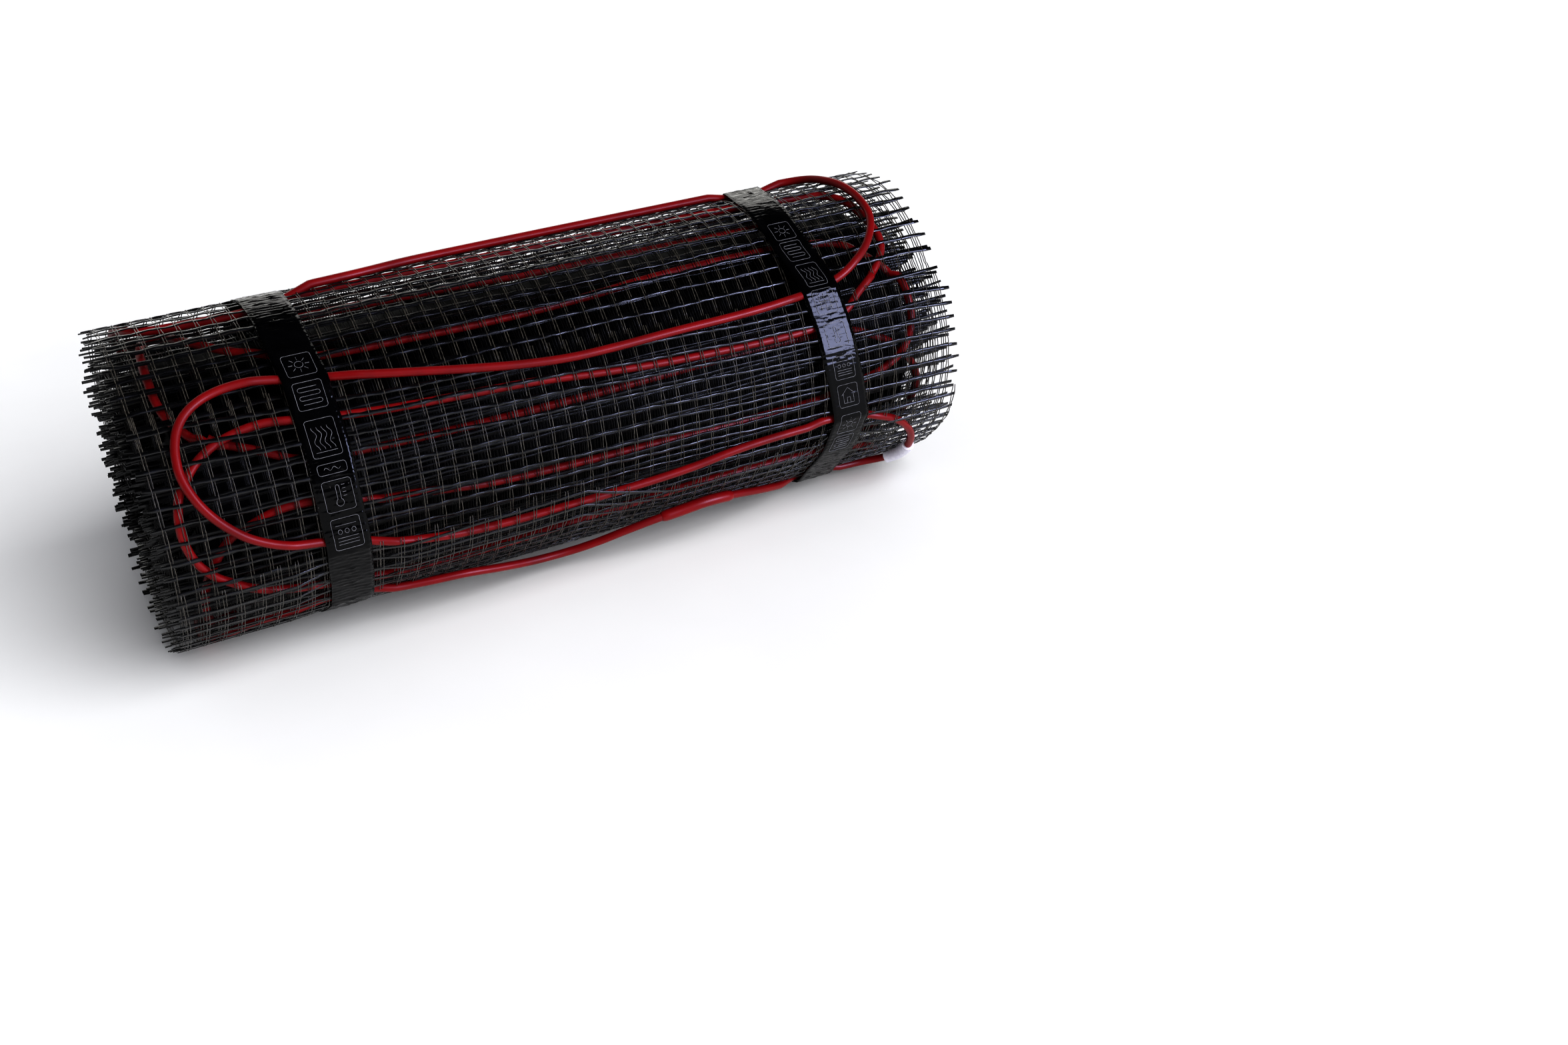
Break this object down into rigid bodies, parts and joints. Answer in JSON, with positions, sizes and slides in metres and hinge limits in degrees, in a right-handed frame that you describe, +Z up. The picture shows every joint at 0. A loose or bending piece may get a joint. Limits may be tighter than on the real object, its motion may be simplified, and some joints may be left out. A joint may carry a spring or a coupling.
{
  "type": "underfloor heating mat roll",
  "caption": "Rolled underfloor heating mat: open black fibreglass mesh with a red heating cable in a serpentine, wound round an open bore and held by wraps of black tape.",
  "frame": {"origin": "under the middle of the roll, on the floor that it lies on", "axes": "+X along the roll's axis, from the end with the two wide loops of cable towards the end with the blank label; -Y is the side seen in the picture; +Z up"},
  "size_m": [0.5, 0.1976, 0.1918],
  "materials": {
    "mesh": "resin-coated black fibreglass mesh, satin",
    "cable_sheath": "satin crimson red cable sheath",
    "sleeve": "satin red shrink sleeve",
    "tape": "glossy black printed tape",
    "label": "blank white label"
  },
  "bodies": {
    "root": {"mat_roll": "mesh", "heating_cable": "cable_sheath", "splice_sleeve": "sleeve", "tape_left": "tape", "tape_right": "tape", "cable_label": "label"}
  },
  "joints": []
}
